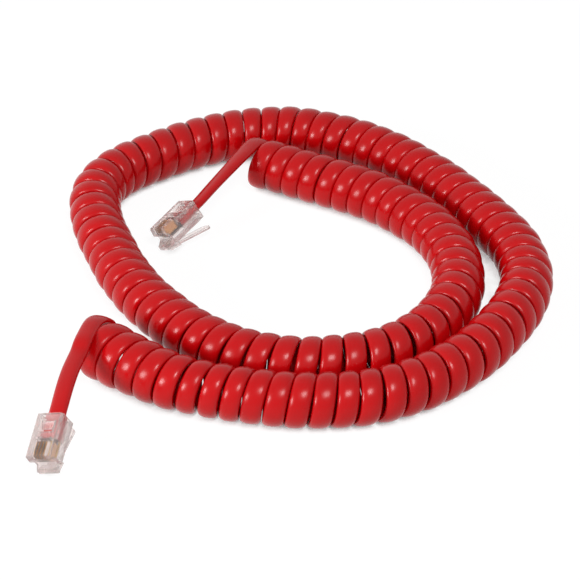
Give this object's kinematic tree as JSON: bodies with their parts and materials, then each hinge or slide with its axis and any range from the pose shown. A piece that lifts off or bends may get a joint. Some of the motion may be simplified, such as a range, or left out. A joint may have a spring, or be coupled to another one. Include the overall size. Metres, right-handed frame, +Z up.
{
  "type": "coiled telephone handset cord",
  "caption": "Left-handed curly handset cord lying in a loose spiral, with a straight tail and a clear latching modular plug at each end.",
  "frame": {"origin": "middle of the base of the whole cord's box, on the table it lies on", "axes": "+Z up from the table; +X and +Y along the table, with the spiral's longer side along Y and the outer plug at the low X, low Y corner"},
  "size_m": [0.1405, 0.1662, 0.0167],
  "materials": {
    "cord_pvc": "extruded flexible PVC jacket, satin gloss, red",
    "clear_polycarbonate": "moulded clear polycarbonate, glossy",
    "gold_contact": "gold-plated phosphor bronze blade, punched",
    "wire_black": "extruded insulation, black",
    "wire_red": "extruded insulation, red",
    "wire_green": "extruded insulation, green",
    "wire_yellow": "extruded insulation, yellow"
  },
  "bodies": {
    "cord": {"curly_cord": "cord_pvc", "tail_a": "cord_pvc", "tail_b": "cord_pvc", "plug_a_housing": "clear_polycarbonate", "plug_a_contact_1": "gold_contact", "plug_a_contact_2": "gold_contact", "plug_a_contact_3": "gold_contact", "plug_a_contact_4": "gold_contact", "plug_a_wire_black": "wire_black", "plug_a_wire_red": "wire_red", "plug_a_wire_green": "wire_green", "plug_a_wire_yellow": "wire_yellow", "plug_b_housing": "clear_polycarbonate", "plug_b_contact_1": "gold_contact", "plug_b_contact_2": "gold_contact", "plug_b_contact_3": "gold_contact", "plug_b_contact_4": "gold_contact", "plug_b_wire_black": "wire_black", "plug_b_wire_red": "wire_red", "plug_b_wire_green": "wire_green", "plug_b_wire_yellow": "wire_yellow"},
    "latch_a": {"plug_a_latch": "clear_polycarbonate"},
    "latch_b": {"plug_b_latch": "clear_polycarbonate"}
  },
  "joints": [
    {"name": "latch_a_press", "type": "hinge", "parent": "cord", "child": "latch_a", "pos_m": [-0.06446, -0.08031, 0.00272], "axis": [0.8843, -0.3469, 0.3125], "range_deg": [0, 14], "stiffness_Nm_per_rad": 0.3},
    {"name": "latch_b_press", "type": "hinge", "parent": "cord", "child": "latch_b", "pos_m": [-0.03768, 0.02107, 0.00298], "axis": [0.5724, -0.6747, 0.466], "range_deg": [0, 14], "stiffness_Nm_per_rad": 0.3}
  ]
}
